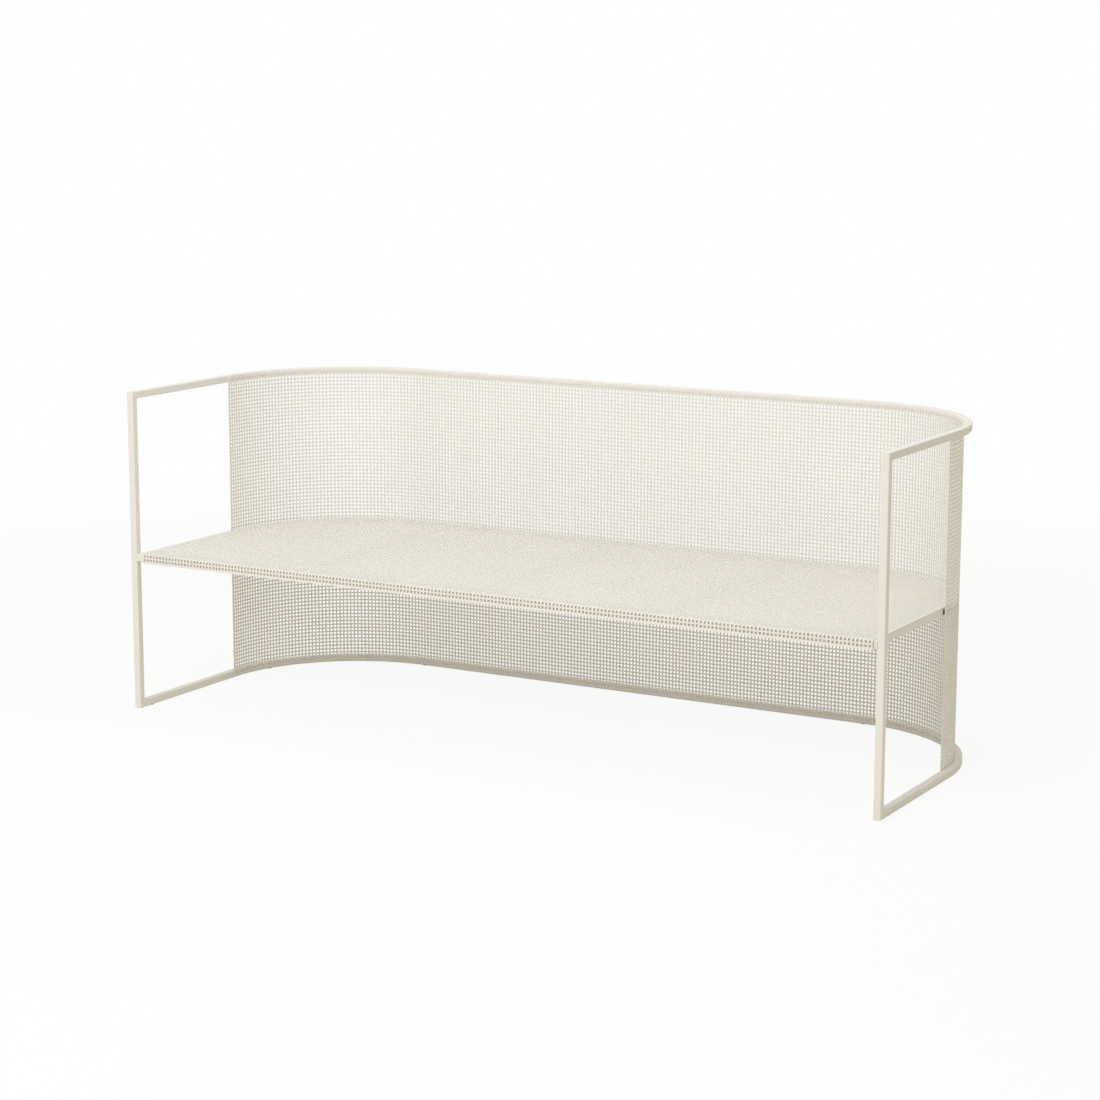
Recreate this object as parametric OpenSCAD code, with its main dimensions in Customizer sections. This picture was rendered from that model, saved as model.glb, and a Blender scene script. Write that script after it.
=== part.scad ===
// Garden bench: a welded square-tube frame with a curved perforated back and a folded perforated seat.
// Millimetres. X runs along the bench, the open front faces -Y, Z is up and the floor is Z = 0.
// The origin is on the floor, in the middle of the bench's length and of its depth over the seat's lip.

/* [Overall] */
// Length of the bench over its tubes
length = 1690; // [1200:10:2200]
// Depth of the tube frame, from the posts' front face to the back tubes
frame_depth = 655; // [560:5:800]
// Height from the floor to the top of the upper rail
height = 670; // [560:5:820]
// Height from the floor to the top of the seat sheet
seat_height = 332.5; // [260:0.5:450]
// Outer radius of the two back corners, in plan
corner_radius = 312; // [220:2:340]

/* [Tubes] */
// Side of the square tube
tube = 15; // [12:1:25]
// Wall of the square tube
tube_wall = 1.5; // [1:0.1:2.5]
// Outside radius of the tube's four long edges
tube_radius = 2; // [1:0.1:3]

/* [Back sheet] */
// Thickness of both perforated sheets
sheet = 1.5; // [1:0.1:3]
// Distance from the posts' front face to the front edges of the back sheet
back_sheet_start = 328; // [200:1:340]
// Distance that the back sheet stops short of the outer faces of the two rails
back_sheet_inset = 2.5; // [0.5:0.5:10]

/* [Seat] */
// Gap between the seat frame and the back sheet, filled by the spacers
seat_gap = 3.5; // [2:0.5:8]
// Height of the seat's folded front lip, over the sheet
lip_height = 18.5; // [12:0.5:30]
// Gap between the lip and the front rail behind it
lip_gap = 2.5; // [0.5:0.5:4]
// Distance from the left post to the left end of the lip
lip_left_relief = 17; // [6:1:40]
// Distance from the right post to the right end of the lip
lip_right_relief = 7; // [6:1:40]
// How far the corner relief reaches back into the seat sheet
relief_depth = 12; // [6:1:30]
// Distance between the three cross bearers under the seat sheet
bearer_pitch = 410; // [250:10:440]

/* [Spacers] */
// Length of a spacer along the seat tube
spacer_length = 7; // [4:0.5:14]
// Height of a spacer
spacer_height = 9; // [5:0.5:12]

/* [Floor glides] */
// Diameter of a glide's head
glide_d = 11; // [8:0.5:11]
// How far a glide's head holds the frame off the floor
glide_head = 1.5; // [1:0.1:4]
// Diameter of the hole in the tube for a glide's stem
glide_hole_d = 6; // [4:0.5:8]
// Clearance all round between a stem and its hole
glide_clearance = 0.1; // [0.05:0.05:0.3]
// Length of a stem above its head
glide_stem = 8; // [4:0.5:10]
// Distance from the posts' front face to the front glides
front_glide_y = 45; // [25:5:120]

/* [Hidden] */
$fn = 96;
eps = 0.01;
// How far a cutting tool runs past the face that it cuts
cut = 1;
steel = "#e6e3da";
nylon = "#3a3834";
clear_nylon = "#d6d3ca";
// The seat's lip stands in front of the posts, so the frame lies this far back in the overall box
lip_proud = lip_gap + sheet;
front_y = -(frame_depth + lip_proud) / 2 + lip_proud;
back_y = front_y + frame_depth;
half_length = length / 2;
// Centres of the two corner arcs
arc_x = half_length - corner_radius;
arc_y = back_y - corner_radius;
frame_bottom = glide_head;
// The fold's inside radius is the lip's gap, so that the fold clears the rail's corner
fold_radius = lip_gap;
seat_tube_top = seat_height - sheet;
seat_tube_bottom = seat_tube_top - tube;
// Offsets inwards from the frame's outer outline
back_sheet_offset = tube;
seat_offset = tube + sheet + seat_gap;
back_sheet_front = front_y + back_sheet_start;
bearer_back = back_y - seat_offset - tube;
lip_left = -half_length + tube + lip_left_relief;
lip_right = half_length - tube - lip_right_relief;
// How far round its arc, from the arm towards the back, each corner glide sits
corner_glide_turn = 20;

// A square with rounded corners, standing in the first quadrant
module rounded_square(side, radius) {
    translate([radius, 0])
        square([side - 2 * radius, side]);
    translate([0, radius])
        square([side, side - 2 * radius]);
    for (x = [radius, side - radius], y = [radius, side - radius])
        translate([x, y])
            circle(r = radius);
}

// The tube's cross-section, hollow, standing in the first quadrant
module tube_section() {
    difference() {
        rounded_square(tube, tube_radius);
        translate([tube_wall, tube_wall])
            rounded_square(tube - 2 * tube_wall, max(tube_radius - tube_wall, tube_wall / 3));
    }
}

// Its child is an outline of that width, standing in the first quadrant. It is run along the bench's plan,
// set in from the outer outline by inset, from the line start_y round both back corners, from the height low.
module bent_run(inset, width, start_y, low) {
    for (side = [-1, 1]) {
        x = side * (half_length - inset) - (side > 0 ? width : 0);
        translate([x, arc_y, low])
            rotate([90, 0, 0])
                linear_extrude(arc_y - start_y)
                    children();
        translate([side * arc_x, arc_y, low])
            rotate([0, 0, side > 0 ? 0 : 90])
                rotate_extrude(angle = 90)
                    translate([corner_radius - inset - width, 0])
                        children();
    }
    translate([-arc_x, back_y - inset - width, low])
        rotate([90, 0, 90])
            linear_extrude(2 * arc_x)
                children();
}

// A hollow square tube bent to the bench's plan, open at both ends
module bent_tube(inset, start_y, low) {
    bent_run(inset, tube, start_y, low)
        tube_section();
}

// A wedge that trims the two front ends of a rail at 45 degrees; up is 1 for the lower rail, -1 for the upper.
module rail_mitre(outer_z, up) {
    reach = tube + cut;
    translate([-half_length - cut, front_y, outer_z])
        rotate([90, 0, 90])
            linear_extrude(length + 2 * cut)
                polygon([[-cut, -up * cut], [reach, up * reach], [-cut, up * reach]]);
}

module glide_spot(name) {
    straight_x = half_length - tube / 2;
    middle = corner_radius - tube / 2;
    spots = [
        ["front_left", [-straight_x, front_y + front_glide_y]],
        ["front_right", [straight_x, front_y + front_glide_y]],
        ["corner_left", [-arc_x - middle * cos(corner_glide_turn), arc_y + middle * sin(corner_glide_turn)]],
        ["corner_right", [arc_x + middle * cos(corner_glide_turn), arc_y + middle * sin(corner_glide_turn)]],
        ["back_left", [-arc_x, back_y - tube / 2]],
        ["back_right", [arc_x, back_y - tube / 2]]
    ];
    for (spot = spots)
        if (name == "every" || spot[0] == name)
            translate([spot[1][0], spot[1][1], 0])
                children();
}

module top_rail() {
    color(steel)
        difference() {
            bent_tube(0, front_y, height - tube);
            rail_mitre(height, -1);
        }
}

module bottom_rail() {
    color(steel)
        difference() {
            bent_tube(0, front_y, frame_bottom);
            rail_mitre(frame_bottom, 1);
            glide_spot("every")
                translate([0, 0, frame_bottom - cut])
                    cylinder(d = glide_hole_d, h = tube_wall + 2 * cut);
        }
}

// An upright with both ends mitred to meet the two rails
module post(x) {
    intersection() {
        translate([x, front_y, frame_bottom])
            linear_extrude(height - frame_bottom)
                tube_section();
        translate([x, front_y, 0])
            rotate([90, 0, 90])
                linear_extrude(tube)
                    polygon([[0, frame_bottom], [tube, frame_bottom + tube], [tube, height - tube], [0, height]]);
    }
}

module left_post() {
    color(steel) post(-half_length);
}

module right_post() {
    color(steel) post(half_length - tube);
}

module back_sheet() {
    color(steel)
        bent_run(back_sheet_offset, sheet, back_sheet_front, frame_bottom + back_sheet_inset)
            square([sheet, height - frame_bottom - 2 * back_sheet_inset]);
}

// A hollow square tube along X, open at both ends
module tube_along_x(from_x, to_x, y, z) {
    translate([from_x, y, z])
        rotate([90, 0, 90])
            linear_extrude(to_x - from_x)
                tube_section();
}

// A hollow square tube along Y, open at both ends
module tube_along_y(middle_x, from_y, to_y, z) {
    translate([middle_x - tube / 2, to_y, z])
        rotate([90, 0, 0])
            linear_extrude(to_y - from_y)
                tube_section();
}

module seat_front_rail() {
    color(steel)
        tube_along_x(-half_length + tube, half_length - tube, front_y, seat_tube_bottom);
}

module seat_ring() {
    color(steel)
        bent_tube(seat_offset, front_y + tube, seat_tube_bottom);
}

module bearer(place) {
    tube_along_y(place * bearer_pitch, front_y + tube, bearer_back, seat_tube_bottom);
}

module left_bearer() {
    color(steel) bearer(-1);
}

module middle_bearer() {
    color(steel) bearer(0);
}

module right_bearer() {
    color(steel) bearer(1);
}

// The seat sheet's outline in plan, with its two front corners relieved and its front edge at the fold
module seat_outline(fold_y) {
    relief_y = front_y + relief_depth;
    difference() {
        union() {
            translate([-half_length + seat_offset, fold_y])
                square([length - 2 * seat_offset, arc_y - fold_y]);
            translate([-arc_x, fold_y])
                square([2 * arc_x, back_y - seat_offset - fold_y]);
            for (side = [-1, 1])
                translate([side * arc_x, arc_y])
                    intersection() {
                        circle(r = corner_radius - seat_offset);
                        translate([-corner_radius, 0])
                            square([2 * corner_radius, corner_radius]);
                    }
        }
        translate([-half_length, fold_y - cut])
            square([lip_left - -half_length, relief_y - fold_y + cut]);
        translate([lip_right, fold_y - cut])
            square([half_length - lip_right, relief_y - fold_y + cut]);
    }
}

module seat_sheet() {
    fold_outer = fold_radius + sheet;
    lip_face = front_y - lip_proud;
    fold_y = lip_face + fold_outer;
    fold_z = seat_height - fold_outer;
    color(steel) {
        translate([0, 0, seat_tube_top])
            linear_extrude(sheet)
                seat_outline(fold_y);
        translate([lip_left, 0, 0])
            rotate([90, 0, 90])
                linear_extrude(lip_right - lip_left) {
                    translate([lip_face, seat_height - lip_height])
                        square([sheet, lip_height - fold_outer]);
                    translate([fold_y, fold_z])
                        intersection() {
                            difference() {
                                circle(r = fold_outer);
                                circle(r = fold_radius);
                            }
                            translate([-fold_outer, 0])
                                square([fold_outer, fold_outer]);
                        }
                }
    }
}

// A block between the seat tube and the back sheet, beside the straight stretch of an arm
module side_spacer(side) {
    x = side * (half_length - seat_offset) - (side > 0 ? 0 : seat_gap);
    color(nylon)
        translate([x, back_sheet_front, seat_tube_bottom + (tube - spacer_height) / 2])
            cube([seat_gap, spacer_length, spacer_height]);
}

module left_spacer() {
    side_spacer(-1);
}

module right_spacer() {
    side_spacer(1);
}

// The same block behind the seat tube's straight back stretch
module back_spacer(place) {
    color(nylon)
        translate([
            place * bearer_pitch - spacer_length / 2,
            back_y - seat_offset,
            seat_tube_bottom + (tube - spacer_height) / 2
        ])
            cube([spacer_length, seat_gap, spacer_height]);
}

module back_left_spacer() {
    back_spacer(-1);
}

module back_middle_spacer() {
    back_spacer(0);
}

module back_right_spacer() {
    back_spacer(1);
}

// A push-in foot: a head with a bevelled rim under the tube and a stem through the tube's lower wall
module glide() {
    bevel = glide_head / 3;
    color(clear_nylon) {
        cylinder(d1 = glide_d - 2 * bevel, d2 = glide_d, h = bevel);
        translate([0, 0, bevel])
            cylinder(d = glide_d, h = glide_head - bevel);
        translate([0, 0, glide_head - eps])
            cylinder(d = glide_hole_d - 2 * glide_clearance, h = glide_stem + eps);
    }
}

module front_left_glide() {
    glide_spot("front_left") glide();
}

module front_right_glide() {
    glide_spot("front_right") glide();
}

module corner_left_glide() {
    glide_spot("corner_left") glide();
}

module corner_right_glide() {
    glide_spot("corner_right") glide();
}

module back_left_glide() {
    glide_spot("back_left") glide();
}

module back_right_glide() {
    glide_spot("back_right") glide();
}

top_rail();
bottom_rail();
left_post();
right_post();
back_sheet();
seat_front_rail();
seat_ring();
left_bearer();
middle_bearer();
right_bearer();
seat_sheet();
left_spacer();
right_spacer();
back_left_spacer();
back_middle_spacer();
back_right_spacer();
front_left_glide();
front_right_glide();
corner_left_glide();
corner_right_glide();
back_left_glide();
back_right_glide();
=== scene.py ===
"""Garden bench: punched sheets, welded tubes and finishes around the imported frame.

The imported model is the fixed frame. Each sub-assembly is a class that builds its
meshes in the row frame, in metres, dresses them and makes them ride on the bench's
one body.
"""

from __future__ import annotations

import bisect
import logging
import math
from collections.abc import Callable, Iterable, Sequence
from dataclasses import dataclass, field
from enum import Enum

import bmesh
import bpy
from mathutils import Matrix, Vector


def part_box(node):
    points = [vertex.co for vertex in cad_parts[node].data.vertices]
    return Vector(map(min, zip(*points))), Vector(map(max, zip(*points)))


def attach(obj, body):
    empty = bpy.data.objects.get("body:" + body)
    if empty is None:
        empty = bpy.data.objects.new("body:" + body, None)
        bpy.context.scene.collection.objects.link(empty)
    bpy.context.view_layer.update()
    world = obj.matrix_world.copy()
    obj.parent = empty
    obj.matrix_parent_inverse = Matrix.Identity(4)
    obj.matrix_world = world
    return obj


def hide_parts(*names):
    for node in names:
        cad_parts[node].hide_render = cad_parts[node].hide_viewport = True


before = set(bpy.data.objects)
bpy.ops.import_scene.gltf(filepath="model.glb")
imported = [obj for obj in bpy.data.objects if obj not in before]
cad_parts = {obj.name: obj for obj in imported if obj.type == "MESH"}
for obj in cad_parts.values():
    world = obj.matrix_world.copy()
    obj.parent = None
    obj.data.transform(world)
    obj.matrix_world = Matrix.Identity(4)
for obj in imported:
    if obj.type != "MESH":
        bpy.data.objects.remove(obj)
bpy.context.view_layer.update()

LOG = logging.getLogger("garden_bench")
BODY = "root"
MM = 0.001
QUARTER_TURN = math.pi / 2
SHARP_ANGLE = math.radians(35)
WELD_DISTANCE = 1e-6

Faces = list[bmesh.types.BMFace]
Colour = tuple[float, float, float]


class Slot(Enum):
    """The record's material slots."""

    FRAME = "frame_steel"
    SHEET = "sheet_steel"
    NYLON = "nylon"
    CLEAR_NYLON = "clear_nylon"


class Side(Enum):
    """The two ends of the bench, as a sign on X."""

    LEFT = -1
    RIGHT = 1


# Finishes


@dataclass(frozen=True)
class NodeKit:
    """Small helpers for laying out one material's nodes.

    Args:
        material: The material that the nodes go into.
    """

    material: bpy.types.Material

    def add(self, kind: str, **settings: object) -> bpy.types.Node:
        """Adds a node and sets its properties.

        Args:
            kind: The node's type name.
            **settings: Properties of the node.

        Returns:
            The new node.
        """
        node = self.material.node_tree.nodes.new(kind)
        for name, value in settings.items():
            setattr(node, name, value)
        return node

    def join(self, source: bpy.types.NodeSocket, target: bpy.types.NodeSocket) -> None:
        """Links an output to an input."""
        self.material.node_tree.links.new(source, target)

    def noise(
        self, vector: bpy.types.NodeSocket, scale: float, detail: float = 2.0
    ) -> bpy.types.NodeSocket:
        """Adds a noise texture.

        Args:
            vector: The coordinates that it reads.
            scale: Features in each metre.
            detail: Octaves of finer noise.

        Returns:
            The noise's factor output.
        """
        node = self.add("ShaderNodeTexNoise")
        node.inputs["Scale"].default_value = scale
        node.inputs["Detail"].default_value = detail
        self.join(vector, node.inputs["Vector"])
        return node.outputs["Fac"]

    def spread(
        self, source: bpy.types.NodeSocket, low: float, high: float
    ) -> bpy.types.NodeSocket:
        """Maps a noise's middle range onto low to high.

        Args:
            source: A value about one half.
            low: The result where the noise is weakest.
            high: The result where the noise is strongest.

        Returns:
            The mapped value.
        """
        node = self.add("ShaderNodeMapRange")
        node.inputs["From Min"].default_value = 0.3
        node.inputs["From Max"].default_value = 0.7
        node.inputs["To Min"].default_value = low
        node.inputs["To Max"].default_value = high
        self.join(source, node.inputs["Value"])
        return node.outputs["Result"]

    def tint(
        self, factor: bpy.types.NodeSocket, first: Colour, second: Colour
    ) -> bpy.types.NodeSocket:
        """Mixes two colours.

        Args:
            factor: How much of the second colour.
            first: The first colour, linear.
            second: The second colour, linear.

        Returns:
            The mixed colour.
        """
        node = self.add("ShaderNodeMix", data_type="RGBA")
        node.inputs["A"].default_value = (*first, 1)
        node.inputs["B"].default_value = (*second, 1)
        self.join(factor, node.inputs["Factor"])
        return node.outputs["Result"]

    def bump(
        self,
        height: bpy.types.NodeSocket,
        depth: float,
        strength: float,
        under: bpy.types.NodeSocket | None = None,
    ) -> bpy.types.NodeSocket:
        """Adds a bump.

        Args:
            height: The height map, 0 to 1.
            depth: The height of 1, in metres.
            strength: The bump's strength.
            under: A coarser bump's normal that this one stands on.

        Returns:
            The bumped normal.
        """
        node = self.add("ShaderNodeBump")
        node.inputs["Strength"].default_value = strength
        node.inputs["Distance"].default_value = depth
        self.join(height, node.inputs["Height"])
        if under is not None:
            self.join(under, node.inputs["Normal"])
        return node.outputs["Normal"]


@dataclass(frozen=True)
class Finish:
    """A painted or moulded surface: a colour that drifts a little, a grain and a sheen.

    Args:
        name: The material's name.
        colour: The surface's colour, linear.
        drift: How far the colour strays, as a share.
        drift_scale: Patches of colour in each metre.
        roughness: The mean roughness.
        roughness_spread: How far the roughness strays either way.
        waviness: Depth of the long shallow ripple, in metres.
        waviness_scale: Ripples in each metre.
        grain: Depth of the fine grain, in metres.
        grain_scale: Grains in each metre.
        specular: The Principled shader's specular level.
    """

    name: str
    colour: Colour
    drift: float
    drift_scale: float
    roughness: float
    roughness_spread: float
    waviness: float
    waviness_scale: float
    grain: float
    grain_scale: float
    specular: float = 0.5

    def material(self) -> bpy.types.Material:
        """Makes the material.

        Returns:
            The node material.
        """
        material = bpy.data.materials.new(self.name)
        material.use_nodes = True
        material.diffuse_color = (*self.colour, 1)
        kit = NodeKit(material)
        shader = material.node_tree.nodes["Principled BSDF"]
        place = kit.add("ShaderNodeTexCoord").outputs["Object"]
        patches = kit.noise(place, self.drift_scale, 3.0)
        lighter = tuple(min(1.0, c * (1 + self.drift)) for c in self.colour)
        darker = tuple(c * (1 - self.drift) for c in self.colour)
        kit.join(
            kit.tint(kit.spread(patches, 0, 1), darker, lighter),
            shader.inputs["Base Color"],
        )
        speckle = kit.noise(place, self.grain_scale, 2.0)
        kit.join(
            kit.spread(
                speckle,
                self.roughness - self.roughness_spread,
                self.roughness + self.roughness_spread,
            ),
            shader.inputs["Roughness"],
        )
        ripple = kit.bump(
            kit.noise(place, self.waviness_scale, 1.0), self.waviness, 1.0
        )
        kit.join(kit.bump(speckle, self.grain, 1.0, ripple), shader.inputs["Normal"])
        shader.inputs["Specular IOR Level"].default_value = self.specular
        return material


POWDER_COAT = Finish(
    name="warm_white_powder_coat",
    colour=(0.80, 0.778, 0.732),
    drift=0.012,
    drift_scale=7.0,
    roughness=0.5,
    roughness_spread=0.05,
    waviness=0.00004,
    waviness_scale=260.0,
    grain=0.000012,
    grain_scale=2200.0,
)
CLEAR_NYLON = Finish(
    name="natural_nylon",
    colour=(0.66, 0.64, 0.59),
    drift=0.03,
    drift_scale=60.0,
    roughness=0.45,
    roughness_spread=0.05,
    waviness=0.00001,
    waviness_scale=400.0,
    grain=0.00001,
    grain_scale=3000.0,
)
# Nylon for the spacers between the seat tube and the back sheet: a real moulded part,
# and its near-black colour is also painted shade, standing in for the shade of the gap
# that it fills.
BLACK_NYLON_PAINTED_GAP_SHADE = Finish(
    name="dark_nylon_painted_gap_shade",
    colour=(0.05, 0.047, 0.043),
    drift=0.08,
    drift_scale=60.0,
    roughness=0.55,
    roughness_spread=0.06,
    waviness=0.00001,
    waviness_scale=400.0,
    grain=0.00001,
    grain_scale=3000.0,
    specular=0.4,
)


@dataclass
class Palette:
    """The finished materials, made once and shared."""

    made: dict[str, bpy.types.Material] = field(default_factory=dict)

    def of(self, finish: Finish) -> bpy.types.Material:
        """The material of a finish."""
        if finish.name not in self.made:
            self.made[finish.name] = finish.material()
        return self.made[finish.name]


# Meshes


def as_piece(
    mesh: bmesh.types.BMesh,
    name: str,
    material: bpy.types.Material,
    stands_for: Sequence[str],
) -> bpy.types.Object:
    """Turns a finished bmesh into a piece of the bench and frees the bmesh.

    Args:
        mesh: The mesh, in the row frame.
        name: The piece's name.
        material: Its material.
        stands_for: The CAD nodes that it replaces.

    Returns:
        The piece, riding on the bench's body.
    """
    bmesh.ops.recalc_face_normals(mesh, faces=mesh.faces[:])
    for face in mesh.faces:
        face.smooth = True
    for edge in mesh.edges:
        edge.smooth = edge.is_manifold and edge.calc_face_angle(0) < SHARP_ANGLE
    data = bpy.data.meshes.new(name)
    mesh.to_mesh(data)
    mesh.free()
    data.materials.append(material)
    piece = bpy.data.objects.new(name, data)
    bpy.context.scene.collection.objects.link(piece)
    even = piece.modifiers.new("even_shading", "WEIGHTED_NORMAL")
    even.keep_sharp = True
    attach(piece, BODY)
    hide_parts(*stands_for)
    LOG.info("%s: %d faces, for %s", name, len(data.polygons), ", ".join(stands_for))
    return piece


def faces_in(geometry: Iterable[object]) -> Faces:
    """The faces among an operator's results."""
    return [part for part in geometry if isinstance(part, bmesh.types.BMFace)]


def verts_in(geometry: Iterable[object]) -> list[bmesh.types.BMVert]:
    """The vertices among an operator's results."""
    return [part for part in geometry if isinstance(part, bmesh.types.BMVert)]


def run_on(mesh: bmesh.types.BMesh, faces: Faces, step: Vector) -> Faces:
    """Extrudes a section along a straight line and clears the section left inside.

    Args:
        mesh: The mesh being built.
        faces: The section to extrude.
        step: How far, and which way.

    Returns:
        The section at the far end.
    """
    grown = bmesh.ops.extrude_face_region(mesh, geom=faces)["geom"]
    bmesh.ops.translate(mesh, verts=verts_in(grown), vec=step)
    return faces_in(grown)


# Tubes


@dataclass
class SquareTube:
    """Square steel tube with rounded edges, as drawn in long lengths.

    Args:
        side: The tube's side.
        wall: The tube's wall.
        edge_radius: Outside radius of the four long edges.
        edge_steps: Faces round each of those edges.
        bend_steps: Stations round a quarter bend.
    """

    side: float
    wall: float = 1.5 * MM
    edge_radius: float = 2 * MM
    edge_steps: int = 4
    bend_steps: int = 60

    def section(self, mesh: bmesh.types.BMesh, centre: Vector, along: Vector) -> Faces:
        """Lays the hollow section at a point, square to the tube.

        Args:
            mesh: The mesh being built.
            centre: The middle of the section.
            along: The tube's direction, one of the three axes.

        Returns:
            The faces of the section's wall.
        """
        turn = Vector((0, 0, 1)).rotation_difference(along).to_matrix().to_4x4()
        grid = bmesh.ops.create_grid(
            mesh, x_segments=1, y_segments=1, size=self.side / 2
        )
        rounded = bmesh.ops.bevel(
            mesh,
            geom=grid["verts"],
            offset=self.edge_radius,
            offset_type="OFFSET",
            affect="VERTICES",
            segments=self.edge_steps,
            profile=0.5,
            material=-1,
        )
        outline = list({face for vert in rounded["verts"] for face in vert.link_faces})
        wall = bmesh.ops.inset_region(
            mesh,
            faces=outline,
            thickness=self.wall,
            use_even_offset=True,
            use_boundary=True,
        )["faces"]
        bmesh.ops.delete(mesh, geom=outline, context="FACES_ONLY")
        corners = list({vert for face in wall for vert in face.verts})
        bmesh.ops.transform(
            mesh, matrix=Matrix.Translation(centre) @ turn, verts=corners
        )
        return list(wall)

    def straight(self, start: Vector, end: Vector) -> bmesh.types.BMesh:
        """Makes a straight length.

        Args:
            start: The middle of one end.
            end: The middle of the other end.

        Returns:
            The closed mesh.
        """
        mesh = bmesh.new()
        along = (end - start).normalized()
        run_on(mesh, self.section(mesh, start, along), end - start)
        return mesh

    def bent(self, low: Vector, high: Vector, radius: float) -> bmesh.types.BMesh:
        """Makes a length bent to the bench's plan, from one front end to the other.

        Args:
            low: The lowest corner of its box.
            high: The highest corner of its box.
            radius: Outer radius of its two bends.

        Returns:
            The closed mesh, with both front ends cut square.
        """
        mesh = bmesh.new()
        bend = Vector((high.x - radius, high.y - radius, 0))
        half = self.side / 2
        middle = Vector((0, high.y - half, high.z - half))
        first = self.section(mesh, middle, Vector((1, 0, 0)))
        before_bend = run_on(mesh, first, Vector((bend.x, 0, 0)))
        turned = bmesh.ops.spin(
            mesh,
            geom=before_bend,
            cent=bend,
            axis=(0, 0, 1),
            angle=-QUARTER_TURN,
            steps=self.bend_steps,
        )
        after_bend = faces_in(turned["geom_last"])
        run_on(mesh, after_bend, Vector((0, low.y - bend.y, 0)))
        inside = [f for f in first + before_bend + after_bend if f.is_valid]
        bmesh.ops.delete(mesh, geom=inside, context="FACES")
        bmesh.ops.mirror(
            mesh,
            geom=mesh.verts[:] + mesh.edges[:] + mesh.faces[:],
            matrix=Matrix.Identity(4),
            merge_dist=WELD_DISTANCE,
            axis="X",
        )
        return mesh


@dataclass
class TubeFrame:
    """The welded frame: two bent rails, two uprights and the frame under the seat.

    Args:
        corner_radius: Outer radius of the frame's back corners, in plan.
    """

    corner_radius: float = 312 * MM

    def __post_init__(self) -> None:
        """Reads the tube's side and the frame's outline."""
        self.rail_low, self.rail_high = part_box("top_rail")
        self.stock = SquareTube(side=self.rail_high.z - self.rail_low.z)

    def mitre(self, mesh: bmesh.types.BMesh, outer: float, inward: int) -> None:
        """Cuts a rail's two front ends at 45 degrees.

        Args:
            mesh: The rail.
            outer: The height of its face on the outside of the frame.
            inward: 1 where the frame lies above that face, -1 where it lies below.
        """
        front = self.rail_low.y
        for vert in mesh.verts:
            if vert.co.y < front + WELD_DISTANCE * 10:
                vert.co.y = front + inward * (vert.co.z - outer)

    def rail(self, name: str, outer_is_top: bool) -> bmesh.types.BMesh:
        """Makes the upper or lower rail.

        Args:
            name: Its CAD node.
            outer_is_top: True for the upper rail.

        Returns:
            The rail with mitred ends.
        """
        low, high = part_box(name)
        mesh = self.stock.bent(low, high, self.corner_radius)
        if outer_is_top:
            self.mitre(mesh, high.z, -1)
        else:
            self.mitre(mesh, low.z, 1)
        return mesh

    def post(self, name: str) -> bmesh.types.BMesh:
        """Makes an upright, mitred to both rails.

        Args:
            name: Its CAD node.

        Returns:
            The upright.
        """
        low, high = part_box(name)
        middle = (low + high) / 2
        mesh = self.stock.straight(
            Vector((middle.x, middle.y, low.z)), Vector((middle.x, middle.y, high.z))
        )
        for vert in mesh.verts:
            reach = vert.co.y - low.y
            vert.co.z += reach if vert.co.z < middle.z else -reach
        return mesh

    def straight(self, name: str) -> bmesh.types.BMesh:
        """Makes a straight tube that fills its CAD node's box, along the longer side.

        Args:
            name: Its CAD node.

        Returns:
            The tube.
        """
        low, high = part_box(name)
        middle = (low + high) / 2
        start, end = middle.copy(), middle.copy()
        axis = max(range(3), key=lambda i: high[i] - low[i])
        start[axis], end[axis] = low[axis], high[axis]
        return self.stock.straight(start, end)

    def seat_ring(self) -> bmesh.types.BMesh:
        """Makes the tube that carries the seat along both arms and round the back."""
        low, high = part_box("seat_ring")
        inset = self.rail_high.x - high.x
        return self.stock.bent(low, high, self.corner_radius - inset)

    def build(self, palette: Palette) -> None:
        """Builds and dresses every tube.

        Args:
            palette: The shared materials.
        """
        coat = palette.of(POWDER_COAT)
        makers: dict[str, Callable[[str], bmesh.types.BMesh]] = {
            "top_rail": lambda name: self.rail(name, True),
            "bottom_rail": lambda name: self.rail(name, False),
            "left_post": self.post,
            "right_post": self.post,
            "seat_front_rail": self.straight,
            "seat_ring": lambda name: self.seat_ring(),
            "left_bearer": self.straight,
            "middle_bearer": self.straight,
            "right_bearer": self.straight,
        }
        for name, make in makers.items():
            as_piece(make(name), f"{name}_tube", coat, [name])


# Punched sheets


@dataclass(frozen=True)
class Punching:
    """Square holes on a square grid.

    Args:
        hole: A hole's side.
        pitch: The distance between holes.
        bridge: The least plain metal between a hole and an edge.
    """

    hole: float = 5 * MM
    pitch: float = 8 * MM
    bridge: float = 2.4 * MM

    def row(self, first: float, low: float, high: float) -> list[float]:
        """The centres of the holes that fit between two edges.

        Args:
            first: Any hole's centre.
            low: The lower edge.
            high: The upper edge.

        Returns:
            The centres, rising.
        """
        margin = self.hole / 2 + self.bridge
        start = math.ceil((low + margin - first) / self.pitch)
        stop = math.floor((high - margin - first) / self.pitch)
        return [first + k * self.pitch for k in range(start, stop + 1)]


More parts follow.
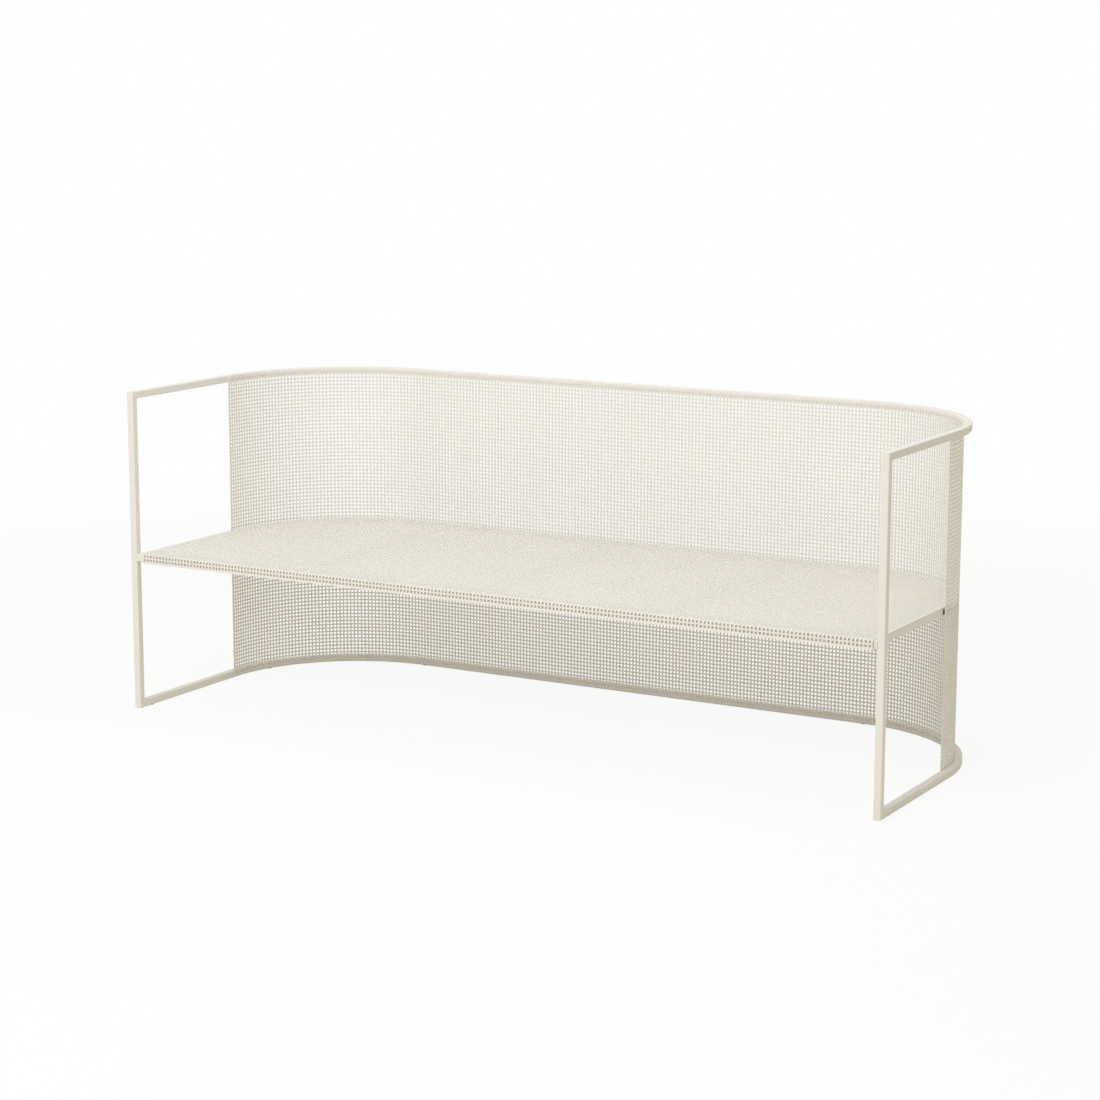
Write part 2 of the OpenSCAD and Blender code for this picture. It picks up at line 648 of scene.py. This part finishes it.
@dataclass
class FlatBlank:
    """A flat sheet with its holes punched, before it is bent.

    Args:
        thickness: The sheet's thickness.
        across: Centres of the columns of holes.
        up: Centres of the rows of holes.
        hole: A hole's side.
        edges_across: The blank's two sides and any bend lines between them.
        edges_up: The blank's two ends and any bend lines between them.
    """

    thickness: float
    across: Sequence[float]
    up: Sequence[float]
    hole: float
    edges_across: Sequence[float]
    edges_up: Sequence[float]

    @staticmethod
    def lines(
        centres: Sequence[float], hole: float, edges: Sequence[float]
    ) -> list[float]:
        """The grid lines one way: the edges of the holes, and the blank's own.

        Args:
            centres: Centres of the holes.
            hole: A hole's side.
            edges: The blank's edges and bend lines.

        Returns:
            The lines, rising, none of them doubled.
        """
        found = sorted(
            [c + s * hole / 2 for c in centres for s in (-1, 1)] + list(edges)
        )
        kept = [found[0]]
        for line in found[1:]:
            if line - kept[-1] > 10 * WELD_DISTANCE:
                kept.append(line)
        return [x for x in kept if edges[0] - 1e-9 <= x <= edges[-1] + 1e-9]

    def inside(self, centres: Sequence[float], value: float) -> bool:
        """Whether a value lies within one of the holes' widths."""
        at = bisect.bisect(centres, value - self.hole / 2)
        return at < len(centres) and abs(centres[at] - value) < self.hole / 2

    def grid(self) -> bmesh.types.BMesh:
        """Makes the blank with no thickness, its lines where the holes need them."""
        mesh = bmesh.new()
        columns = self.lines(self.across, self.hole, self.edges_across)
        rows = self.lines(self.up, self.hole, self.edges_up)
        bmesh.ops.create_grid(
            mesh, x_segments=len(columns) - 1, y_segments=len(rows) - 1, size=0.5
        )
        for vert in mesh.verts:
            vert.co.x = columns[round((vert.co.x + 0.5) * (len(columns) - 1))]
            vert.co.y = rows[round((vert.co.y + 0.5) * (len(rows) - 1))]
        return mesh

    def punch(
        self, mesh: bmesh.types.BMesh, allowed: Callable[[float, float], bool]
    ) -> None:
        """Punches the holes.

        Args:
            mesh: The blank.
            allowed: Tells whether a hole may stand at a point.
        """
        slugs = []
        for face in mesh.faces:
            centre = face.calc_center_median()
            if (
                self.inside(self.across, centre.x)
                and self.inside(self.up, centre.y)
                and allowed(centre.x, centre.y)
            ):
                slugs.append(face)
        bmesh.ops.delete(mesh, geom=slugs, context="FACES")

    def thicken(self, mesh: bmesh.types.BMesh) -> None:
        """Gives the blank its thickness, from 0 up to the sheet's.

        Args:
            mesh: The blank.
        """
        grown = bmesh.ops.extrude_face_region(mesh, geom=mesh.faces[:])["geom"]
        bmesh.ops.translate(
            mesh, verts=verts_in(grown), vec=Vector((0, 0, self.thickness))
        )


@dataclass
class BackSheet:
    """The punched sheet that lines both rails, bent round the two back corners.

    Args:
        corner_radius: Outer radius of the frame's back corners, in plan.
        first_hole: From the sheet's front edges to the first holes' centres.
        parts: How many pieces it is made in, along its length.
        bend_steps: Stations round a corner; not used.
    """

    corner_radius: float = 312 * MM
    first_hole: float = 8 * MM
    parts: int = 3
    bend_steps: int = 60
    punching: Punching = Punching()

    def __post_init__(self) -> None:
        """Reads the sheet's place and works out its developed length."""
        self.low, self.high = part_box("back_sheet")
        rail_low, rail_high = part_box("top_rail")
        self.offset = rail_high.x - self.high.x
        spacer_low, spacer_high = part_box("right_spacer")
        self.thickness = self.high.x - spacer_high.x
        self.outer = self.corner_radius - self.offset
        self.bend = Vector((self.high.x - self.outer, self.high.y - self.outer, 0))
        self.arm = self.bend.y - self.low.y
        self.middle_radius = self.outer - self.thickness / 2
        self.arc = QUARTER_TURN * self.middle_radius
        self.length = 2 * (self.arm + self.arc + self.bend.x)

    def bend_point(self, along: float, rise: float, outward: float) -> Vector:
        """Where a point of the flat sheet goes once the sheet is bent.

        Args:
            along: From the left front edge, along the sheet's middle.
            rise: Its height.
            outward: From the sheet's middle towards the outside of the bench.

        Returns:
            The point in the row frame.
        """
        side = -1 if along < self.length / 2 else 1
        rest = along if side < 0 else self.length - along
        radius = self.middle_radius + outward
        if rest < self.arm:
            return Vector(
                (side * (self.bend.x + radius), self.low.y + rest, rise)
            )
        rest -= self.arm
        if rest < self.arc:
            turn = rest / self.middle_radius
            return Vector(
                (
                    side * (self.bend.x + radius * math.cos(turn)),
                    self.bend.y + radius * math.sin(turn),
                    rise,
                )
            )
        rest -= self.arc
        return Vector((side * (self.bend.x - rest), self.bend.y + radius, rise))

    def build(self, palette: Palette) -> None:
        """Builds and dresses the sheet.

        Args:
            palette: The shared materials.
        """
        spaces = round((self.length - 2 * self.first_hole) / self.punching.pitch)
        pitch = (self.length - 2 * self.first_hole) / spaces
        columns = [self.first_hole + k * pitch for k in range(spaces + 1)]
        rise = (self.low.z + self.high.z) / 2
        rows = self.punching.row(
            rise + self.punching.pitch / 2, self.low.z, self.high.z
        )
        cuts = [0.0]
        for part in range(1, self.parts):
            column = round(len(columns) * part / self.parts)
            cuts.append(columns[column] - pitch / 2)
        cuts.append(self.length)
        for part, (start, end) in enumerate(zip(cuts, cuts[1:])):
            blank = FlatBlank(
                thickness=self.thickness,
                across=[c for c in columns if start < c < end],
                up=rows,
                hole=self.punching.hole,
                edges_across=[start, end],
                edges_up=[self.low.z, self.high.z],
            )
            mesh = blank.grid()
            blank.punch(mesh, lambda x, y: True)
            blank.thicken(mesh)
            for vert in mesh.verts:
                vert.co = self.bend_point(
                    vert.co.x, vert.co.y, vert.co.z - self.thickness / 2
                )
            as_piece(
                mesh,
                f"back_sheet_{('left', 'middle', 'right')[part]}",
                palette.of(POWDER_COAT),
                ["back_sheet"],
            )


@dataclass
class SeatSheet:
    """The punched seat sheet, folded down over the front rail.

    Args:
        corner_radius: Outer radius of the frame's back corners, in plan.
        lip_gap: Gap between the lip and the front rail.
        lip_left_relief: From the left upright to the lip's left end.
        lip_right_relief: From the right upright to the lip's right end.
        relief_depth: How far the corner reliefs reach back from the frame's front.
        column: The middle of one column of holes.
        row_height: The height of the lip's lower row of holes, over its lower edge.
        fold_steps: Faces round the fold.
        corner_steps: Faces round a back corner.
    """

    corner_radius: float = 312 * MM
    lip_gap: float = 2.5 * MM
    lip_left_relief: float = 17 * MM
    lip_right_relief: float = 7 * MM
    relief_depth: float = 12 * MM
    column: float = 2 * MM
    row_height: float = 7 * MM
    fold_steps: int = 5
    corner_steps: int = 36
    punching: Punching = Punching()

    def __post_init__(self) -> None:
        """Reads the sheet's place and works out its flat outline."""
        self.low, self.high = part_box("seat_sheet")
        ring_low, ring_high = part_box("seat_ring")
        rail_low, rail_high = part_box("seat_front_rail")
        frame_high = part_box("top_rail")[1]
        self.thickness = self.high.z - ring_high.z
        self.fold_radius = self.lip_gap + self.thickness / 2
        self.fold_y = self.low.y + self.lip_gap + self.thickness
        self.fold_length = QUARTER_TURN * self.fold_radius
        self.drop = self.high.z - self.low.z - self.lip_gap - self.thickness
        self.flat_front = -self.fold_length - self.drop
        self.flat_back = self.high.y - self.fold_y
        self.lip_left = rail_low.x + self.lip_left_relief
        self.lip_right = rail_high.x - self.lip_right_relief
        self.relief = rail_low.y + self.relief_depth - self.fold_y
        self.arc_radius = self.corner_radius - (frame_high.x - self.high.x)
        self.arc_x = self.high.x - self.arc_radius
        self.arc_v = self.flat_back - self.arc_radius

    def clear(self, x: float, v: float) -> bool:
        """Whether a hole at a point keeps its bridge to the sheet's edges.

        Args:
            x: Along the bench.
            v: From the fold towards the back, over the flat sheet.

        Returns:
            True if the hole may be punched.
        """
        reach = self.punching.hole / 2 + self.punching.bridge
        if v < self.relief + reach and not (
            self.lip_left + reach <= x <= self.lip_right - reach
        ):
            return False
        if v > self.arc_v and abs(x) > self.arc_x:
            corner = Vector((abs(x) - self.arc_x, v - self.arc_v))
            half = self.punching.hole / 2
            far = Vector((corner.x + half, corner.y + half)).length
            return far < self.arc_radius - self.punching.bridge
        return True

    def trim(self, mesh: bmesh.types.BMesh, side: Side) -> None:
        """Cuts the relief beside the lip and rounds the back corner.

        Args:
            mesh: The flat half.
            side: Which half it is.
        """
        lip_end = self.lip_left if side is Side.LEFT else self.lip_right
        spare = []
        for face in mesh.faces:
            centre = face.calc_center_median()
            beyond = side.value * (centre.x - lip_end) > 0
            if beyond and centre.y < self.relief:
                spare.append(face)
        bmesh.ops.delete(mesh, geom=spare, context="FACES")
        for step in range(self.corner_steps):
            turn = (step + 0.5) * QUARTER_TURN / self.corner_steps
            outward = Vector((side.value * math.cos(turn), math.sin(turn), 0))
            reach = self.arc_radius * math.cos(QUARTER_TURN / self.corner_steps / 2)
            corner = Vector((side.value * self.arc_x, self.arc_v, 0))
            near = [
                face
                for face in mesh.faces
                if max((v.co - corner).dot(outward) for v in face.verts) > reach
                and side.value * face.calc_center_median().x > self.arc_x
                and face.calc_center_median().y > self.arc_v
            ]
            edges = {edge for face in near for edge in face.edges}
            verts = {vert for face in near for vert in face.verts}
            bmesh.ops.bisect_plane(
                mesh,
                geom=near + list(edges) + list(verts),
                dist=WELD_DISTANCE,
                plane_co=corner + outward * reach,
                plane_no=outward,
                clear_outer=True,
            )

    def fold_point(self, x: float, v: float, up: float) -> Vector:
        """Where a point of the flat sheet goes once the lip is folded.

        Args:
            x: Along the bench.
            v: From the fold towards the back, over the flat sheet.
            up: From the sheet's lower face.

        Returns:
            The point in the row frame.
        """
        floor = self.high.z - self.thickness
        if v >= 0:
            return Vector((x, self.fold_y + v, floor + up))
        radius = self.lip_gap + up
        centre = Vector((x, self.fold_y, floor - self.lip_gap))
        turn = min(-v / self.fold_radius, QUARTER_TURN)
        below = max(0.0, -v - self.fold_length)
        return centre + Vector(
            (0, -radius * math.sin(turn), radius * math.cos(turn) - below)
        )

    def build(self, palette: Palette) -> None:
        """Builds and dresses the sheet in two halves.

        Args:
            palette: The shared materials.
        """
        columns = self.punching.row(self.column, self.low.x, self.high.x)
        rows = self.punching.row(
            self.flat_front + self.row_height, self.flat_front, self.flat_back
        )
        seam = self.column - self.punching.pitch / 2
        folds = [
            -self.fold_length * step / self.fold_steps
            for step in range(self.fold_steps + 1)
        ]
        for side in Side:
            left = side is Side.LEFT
            sides = (
                [self.low.x, self.lip_left, -self.arc_x, seam]
                if left
                else [seam, self.arc_x, self.lip_right, self.high.x]
            )
            blank = FlatBlank(
                thickness=self.thickness,
                across=[c for c in columns if (c < seam) == left],
                up=rows,
                hole=self.punching.hole,
                edges_across=sides,
                edges_up=sorted(
                    [self.flat_front, self.relief, self.arc_v, self.flat_back] + folds
                ),
            )
            mesh = blank.grid()
            self.trim(mesh, side)
            blank.punch(mesh, self.clear)
            blank.thicken(mesh)
            for vert in mesh.verts:
                vert.co = self.fold_point(*vert.co)
            as_piece(
                mesh,
                f"seat_sheet_{side.name.lower()}",
                palette.of(POWDER_COAT),
                ["seat_sheet"],
            )


# Small parts


@dataclass
class Fittings:
    """The nylon spacers between seat and back, near black partly as painted shade of
    that gap, and the floor glides.

    Args:
        edge: Radius of a spacer's moulded edges.
        edge_steps: Faces round each of those edges.
    """

    edge: float = 0.6 * MM
    edge_steps: int = 3

    def spacer(self, name: str) -> bmesh.types.BMesh:
        """Makes a moulded block with rounded edges that fills its CAD node's box.

        Args:
            name: Its CAD node.

        Returns:
            The block.
        """
        low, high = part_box(name)
        mesh = bmesh.new()
        block = bmesh.ops.create_cube(mesh, size=1)["verts"]
        bmesh.ops.scale(mesh, vec=high - low, verts=block)
        bmesh.ops.translate(mesh, vec=(low + high) / 2, verts=block)
        bmesh.ops.bevel(
            mesh,
            geom=mesh.edges[:],
            offset=self.edge,
            offset_type="OFFSET",
            affect="EDGES",
            segments=self.edge_steps,
            profile=0.5,
            material=-1,
        )
        return mesh

    def build(self, palette: Palette) -> None:
        """Builds the spacers, and gives the glides, whose CAD shape stays, their nylon.

        Args:
            palette: The shared materials.
        """
        for name, node in sorted(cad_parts.items()):
            if name.endswith("_spacer"):
                # The spacers get the near-black nylon, whose dark colour is partly
                # painted shade of the gap between seat tube and back sheet.
                as_piece(
                    self.spacer(name),
                    f"{name}_block",
                    palette.of(BLACK_NYLON_PAINTED_GAP_SHADE),
                    [name],
                )
            elif name.endswith("_glide"):
                node.data.materials.clear()
                node.data.materials.append(palette.of(CLEAR_NYLON))
                LOG.info("%s: CAD shape kept", name)


# Studio


@dataclass(frozen=True)
class Lamp:
    """A soft rectangular lamp.

    Args:
        name: Its name.
        place: Where it hangs.
        aim: The point that it faces.
        size: Its width and height.
        power: Its power, in watts.
        colour: The colour of its light.
    """

    name: str
    place: Colour
    aim: Colour
    size: tuple[float, float]
    power: float
    colour: Colour = (0.96, 0.985, 1.0)

    def hang(self) -> None:
        """Adds the lamp to the scene."""
        data = bpy.data.lights.new(self.name, "AREA")
        data.shape = "RECTANGLE"
        data.size, data.size_y = self.size
        data.energy = self.power
        data.color = self.colour
        lamp = bpy.data.objects.new(self.name, data)
        lamp.location = self.place
        aim = Vector(self.aim) - Vector(self.place)
        lamp.rotation_euler = aim.to_track_quat("-Z", "Y").to_euler()
        bpy.context.scene.collection.objects.link(lamp)


@dataclass
class Studio:
    """The floor, the light and the camera.

    Args:
        floor_size: Half the floor's side.
        floor_colour: The floor's colour for the light that it sends back.
        shadow_share: How much of the real shadow the camera sees on the floor.
        fade_from: Where the floor starts to turn plain white.
        fade_to: Where the floor is plain white.
        ambient: The world's strength for light.
        ambient_colour: The colour of that light.
        lamps: The lamps.
        camera_place: Where the camera stands.
        azimuth: The camera's bearing from the front, in degrees.
        elevation: The camera's height over the horizon, in degrees.
        roll: The camera's roll, in degrees.
        lens: Its focal length, in millimetres.
    """

    floor_size: float = 14.0
    floor_colour: Colour = (0.9, 0.87, 0.79)
    shadow_share: float = 0.12
    fade_from: float = 1.6
    fade_to: float = 3.6
    ambient: float = 0.58
    ambient_colour: Colour = (1.0, 0.96, 0.86)
    lamps: tuple[Lamp, ...] = (
        Lamp("key", (-0.2, -3.2, 2.4), (0, 0, 0.4), (2.4, 1.8), 55),
        Lamp("top", (0.0, 0.0, 3.2), (0, 0, 0.3), (3.0, 2.0), 29),
    )
    camera_place: Colour = (2.6464, -4.6774, 1.3673)
    azimuth: float = 29.745
    elevation: float = 10.56
    roll: float = 0.099
    lens: float = 88.16

    def floor(self) -> None:
        """Lays the plain pale floor, near white to the camera, with a faint shadow."""
        mesh = bmesh.new()
        bmesh.ops.create_grid(mesh, x_segments=8, y_segments=8, size=self.floor_size)
        data = bpy.data.meshes.new("floor")
        mesh.to_mesh(data)
        mesh.free()
        floor = bpy.data.objects.new("floor", data)
        bpy.context.scene.collection.objects.link(floor)
        material = bpy.data.materials.new("pale_floor")
        material.use_nodes = True
        nodes = material.node_tree.nodes
        nodes.clear()
        kit = NodeKit(material)
        paint = kit.add("ShaderNodeBsdfDiffuse")
        paint.inputs["Color"].default_value = (*self.floor_colour, 1)
        white = kit.add("ShaderNodeEmission")
        place = kit.add("ShaderNodeTexCoord").outputs["Object"]
        distance = kit.add("ShaderNodeVectorMath", operation="LENGTH")
        kit.join(place, distance.inputs[0])
        fade = kit.add("ShaderNodeMapRange", interpolation_type="SMOOTHSTEP")
        fade.inputs["From Min"].default_value = self.fade_from
        fade.inputs["From Max"].default_value = self.fade_to
        fade.inputs["To Min"].default_value = 1 - self.shadow_share
        kit.join(distance.outputs["Value"], fade.inputs["Value"])
        path = kit.add("ShaderNodeLightPath")
        seen = kit.add("ShaderNodeMath", operation="MAXIMUM")
        kit.join(path.outputs["Is Camera Ray"], seen.inputs[0])
        kit.join(path.outputs["Is Transmission Ray"], seen.inputs[1])
        share = kit.add("ShaderNodeMath", operation="MULTIPLY")
        kit.join(seen.outputs[0], share.inputs[0])
        kit.join(fade.outputs["Result"], share.inputs[1])
        mix = kit.add("ShaderNodeMixShader")
        kit.join(share.outputs[0], mix.inputs["Fac"])
        kit.join(paint.outputs[0], mix.inputs[1])
        kit.join(white.outputs[0], mix.inputs[2])
        kit.join(
            mix.outputs[0], kit.add("ShaderNodeOutputMaterial").inputs["Surface"]
        )
        data.materials.append(material)

    def world(self) -> None:
        """Sets the soft light all round, and plain white behind the object."""
        world = bpy.data.worlds.new("studio")
        world.use_nodes = True
        bpy.context.scene.world = world
        tree = world.node_tree
        back = tree.nodes["Background"]
        path = tree.nodes.new("ShaderNodeLightPath")
        seen = tree.nodes.new("ShaderNodeMath")
        seen.operation = "MAXIMUM"
        any_seen = tree.nodes.new("ShaderNodeMath")
        any_seen.operation = "MAXIMUM"
        tree.links.new(path.outputs["Is Camera Ray"], seen.inputs[0])
        tree.links.new(path.outputs["Is Glossy Ray"], seen.inputs[1])
        tree.links.new(seen.outputs[0], any_seen.inputs[0])
        tree.links.new(path.outputs["Is Transmission Ray"], any_seen.inputs[1])
        strength = tree.nodes.new("ShaderNodeMapRange")
        strength.inputs["To Min"].default_value = self.ambient
        strength.inputs["To Max"].default_value = 1
        tree.links.new(any_seen.outputs[0], strength.inputs["Value"])
        tree.links.new(strength.outputs["Result"], back.inputs["Strength"])
        colour = tree.nodes.new("ShaderNodeMix")
        colour.data_type = "RGBA"
        colour.inputs["A"].default_value = (*self.ambient_colour, 1)
        colour.inputs["B"].default_value = (1, 1, 1, 1)
        tree.links.new(any_seen.outputs[0], colour.inputs["Factor"])
        tree.links.new(colour.outputs["Result"], back.inputs["Color"])

    def camera(self) -> None:
        """Places the camera."""
        azimuth, elevation, roll = map(
            math.radians, (self.azimuth, self.elevation, self.roll)
        )
        back = Vector(
            (
                math.sin(azimuth) * math.cos(elevation),
                -math.cos(azimuth) * math.cos(elevation),
                math.sin(elevation),
            )
        )
        level = Vector((math.cos(azimuth), math.sin(azimuth), 0))
        rise = back.cross(level)
        right = level * math.cos(roll) + rise * math.sin(roll)
        up = rise * math.cos(roll) - level * math.sin(roll)
        data = bpy.data.cameras.new("camera")
        data.lens = self.lens
        camera = bpy.data.objects.new("camera", data)
        turn = Matrix((right, up, back)).transposed().to_4x4()
        camera.matrix_world = Matrix.Translation(self.camera_place) @ turn
        bpy.context.scene.collection.objects.link(camera)
        bpy.context.scene.camera = camera

    def build(self) -> None:
        """Sets the whole studio up."""
        bpy.context.scene.view_settings.view_transform = "Standard"
        self.floor()
        self.world()
        for lamp in self.lamps:
            lamp.hang()
        self.camera()
        LOG.info("studio ready with %d lamps", len(self.lamps))


def main() -> None:
    """Builds the bench's sub-assemblies in order, then the studio."""
    logging.basicConfig(level=logging.INFO, format="%(message)s")
    palette = Palette()
    TubeFrame().build(palette)
    BackSheet().build(palette)
    SeatSheet().build(palette)
    Fittings().build(palette)
    Studio().build()


if __name__ == "__main__":
    main()
